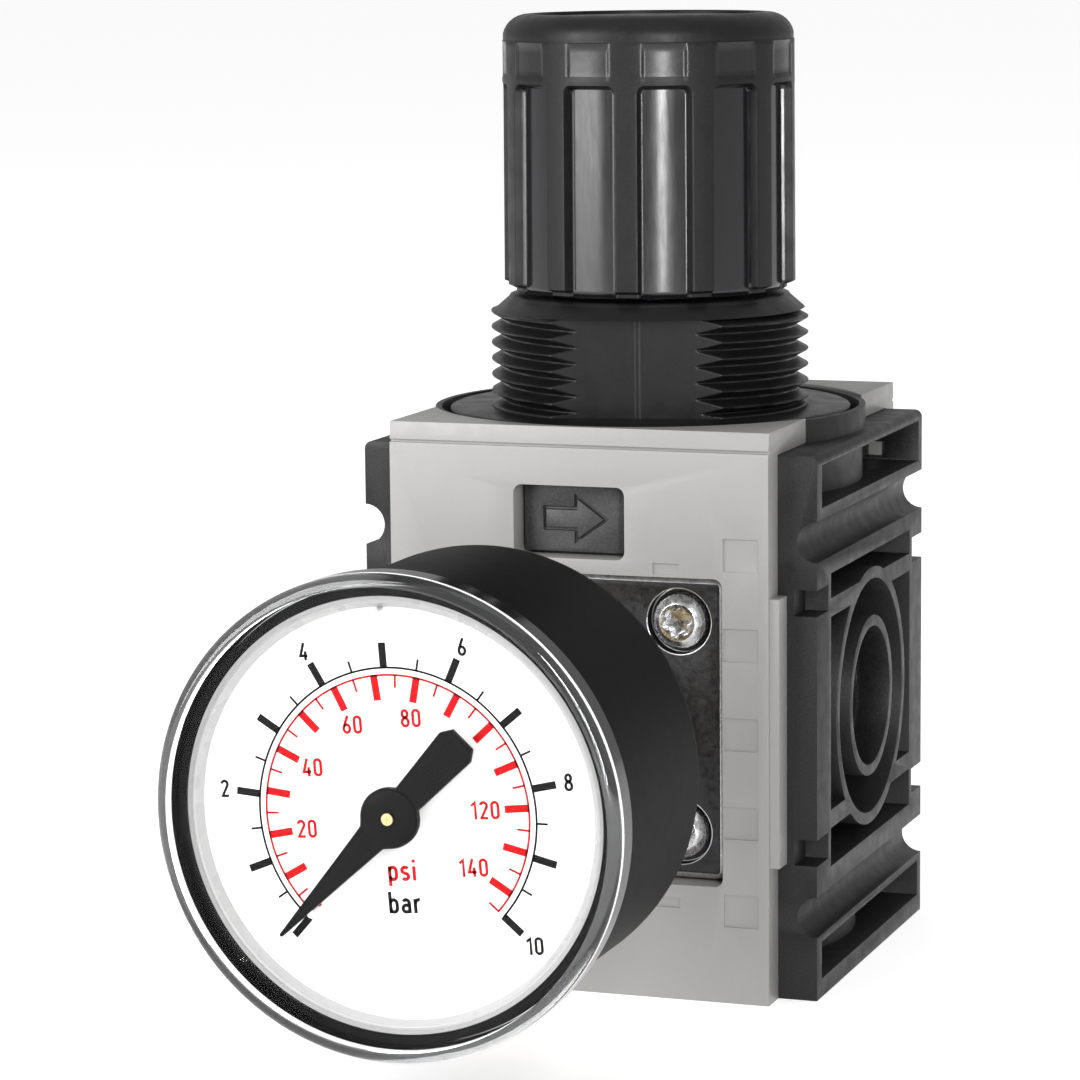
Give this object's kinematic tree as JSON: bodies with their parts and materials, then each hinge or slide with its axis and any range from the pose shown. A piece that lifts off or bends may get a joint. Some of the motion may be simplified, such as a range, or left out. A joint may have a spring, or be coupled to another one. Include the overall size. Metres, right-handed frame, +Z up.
{
  "type": "air pressure regulator",
  "caption": "Modular compressed-air pressure regulator: pull-to-unlock knob on a threaded bonnet, clip-on covers, side ports and a dial gauge on the front.",
  "frame": {"origin": "on the knob and valve axis, at the base of the body", "axes": "+Z up along the knob's axis, +X to the outlet port, -Y towards the gauge"},
  "size_m": [0.0434, 0.0913, 0.0888],
  "materials": {
    "cover_grey": "fine satin moulding",
    "black_polymer": "grained glass-filled polyamide",
    "knob_black": "grained ribs with polished flutes",
    "cast_zinc": "as-cast zinc with bright edges",
    "bright_steel": "zinc plated",
    "brass": "machined",
    "rubber_black": "satin",
    "spring_steel": "drawn wire",
    "gauge_black": "semi-gloss",
    "clear_plastic": "clear polished plastic",
    "dial_white": "matte white print",
    "pointer_black": "matte",
    "white_polymer": "moulded"
  },
  "bodies": {
    "housing": {"valve_body": "black_polymer", "bonnet": "black_polymer", "front_cover": "cover_grey", "rear_cover": "cover_grey", "front_arrow_panel": "black_polymer", "rear_arrow_panel": "black_polymer", "gauge_plate": "cast_zinc", "gauge_plate_seal": "rubber_black", "blanking_plate": "cast_zinc", "blanking_plate_seal": "rubber_black", "inlet_insert": "black_polymer", "outlet_insert": "black_polymer", "valve_seat": "brass", "stem_guide": "brass", "bottom_plug": "black_polymer", "bottom_plug_seal": "rubber_black", "valve_spring": "spring_steel", "regulating_spring": "spring_steel", "gauge_socket": "brass", "gauge_case": "gauge_black", "gauge_crystal": "clear_plastic", "gauge_dial_ring": "gauge_black", "gauge_dial": "dial_white", "pointer_stop_pin": "dial_white", "bourdon_tube": "brass", "movement_block": "brass", "movement_front_plate": "brass", "movement_back_plate": "brass", "movement_pillar_1": "brass", "movement_pillar_2": "brass", "hairspring": "spring_steel", "gauge_plate_screw_1": "bright_steel", "blanking_plate_screw_1": "bright_steel", "gauge_plate_screw_2": "bright_steel", "blanking_plate_screw_2": "bright_steel", "gauge_plate_screw_3": "bright_steel", "blanking_plate_screw_3": "bright_steel", "gauge_plate_screw_4": "bright_steel", "blanking_plate_screw_4": "bright_steel"},
    "spindle": {"spindle": "bright_steel", "spindle_clip": "spring_steel", "knob_screw": "bright_steel", "knob_washer": "bright_steel", "knob_spacer": "bright_steel"},
    "knob": {"knob": "knob_black", "knob_cap": "knob_black"},
    "spring_nut": {"spring_nut": "brass"},
    "valve": {"piston": "white_polymer", "piston_seal": "rubber_black", "valve_stem": "brass", "poppet": "brass", "poppet_seal": "rubber_black"},
    "sector": {"sector_gear": "brass", "sector_shaft": "bright_steel"},
    "pointer": {"pointer": "pointer_black", "pointer_arbor": "brass"}
  },
  "joints": [
    {"name": "knob_turn", "type": "hinge", "parent": "housing", "child": "spindle", "pos_m": [0, 0, 0.0615], "axis": [0, 0, 1], "range_deg": [-1440, 0]},
    {"name": "knob_lift", "type": "slide", "parent": "spindle", "child": "knob", "axis": [0, 0, 1], "range_m": [0, 0.0024]},
    {"name": "nut_travel", "type": "slide", "parent": "housing", "child": "spring_nut", "axis": [0, 0, 1], "range_m": [-0.00401, 0], "deforming": ["regulating_spring"]},
    {"name": "valve_travel", "type": "slide", "parent": "housing", "child": "valve", "axis": [0, 0, 1], "range_m": [-0.001, 0], "stiffness_N_per_m": 400, "springref_m": 0.002, "deforming": ["valve_spring"]},
    {"name": "sector_turn", "type": "hinge", "parent": "housing", "child": "sector", "pos_m": [-0.011, -0.058, 0.02595], "axis": [0, 1, 0], "range_deg": [-27, 0], "stiffness_Nm_per_rad": 0.002, "springref_deg": 11.46},
    {"name": "pointer_turn", "type": "hinge", "parent": "housing", "child": "pointer", "pos_m": [0, -0.058, 0.02595], "axis": [0, 1, 0], "range_deg": [0, 270.5]}
  ],
  "couplings": [
    {"joint": "nut_travel", "follows": "knob_turn", "m_per_rad": 0.00015915},
    {"joint": "pointer_turn", "follows": "sector_turn", "ratio": -10}
  ]
}
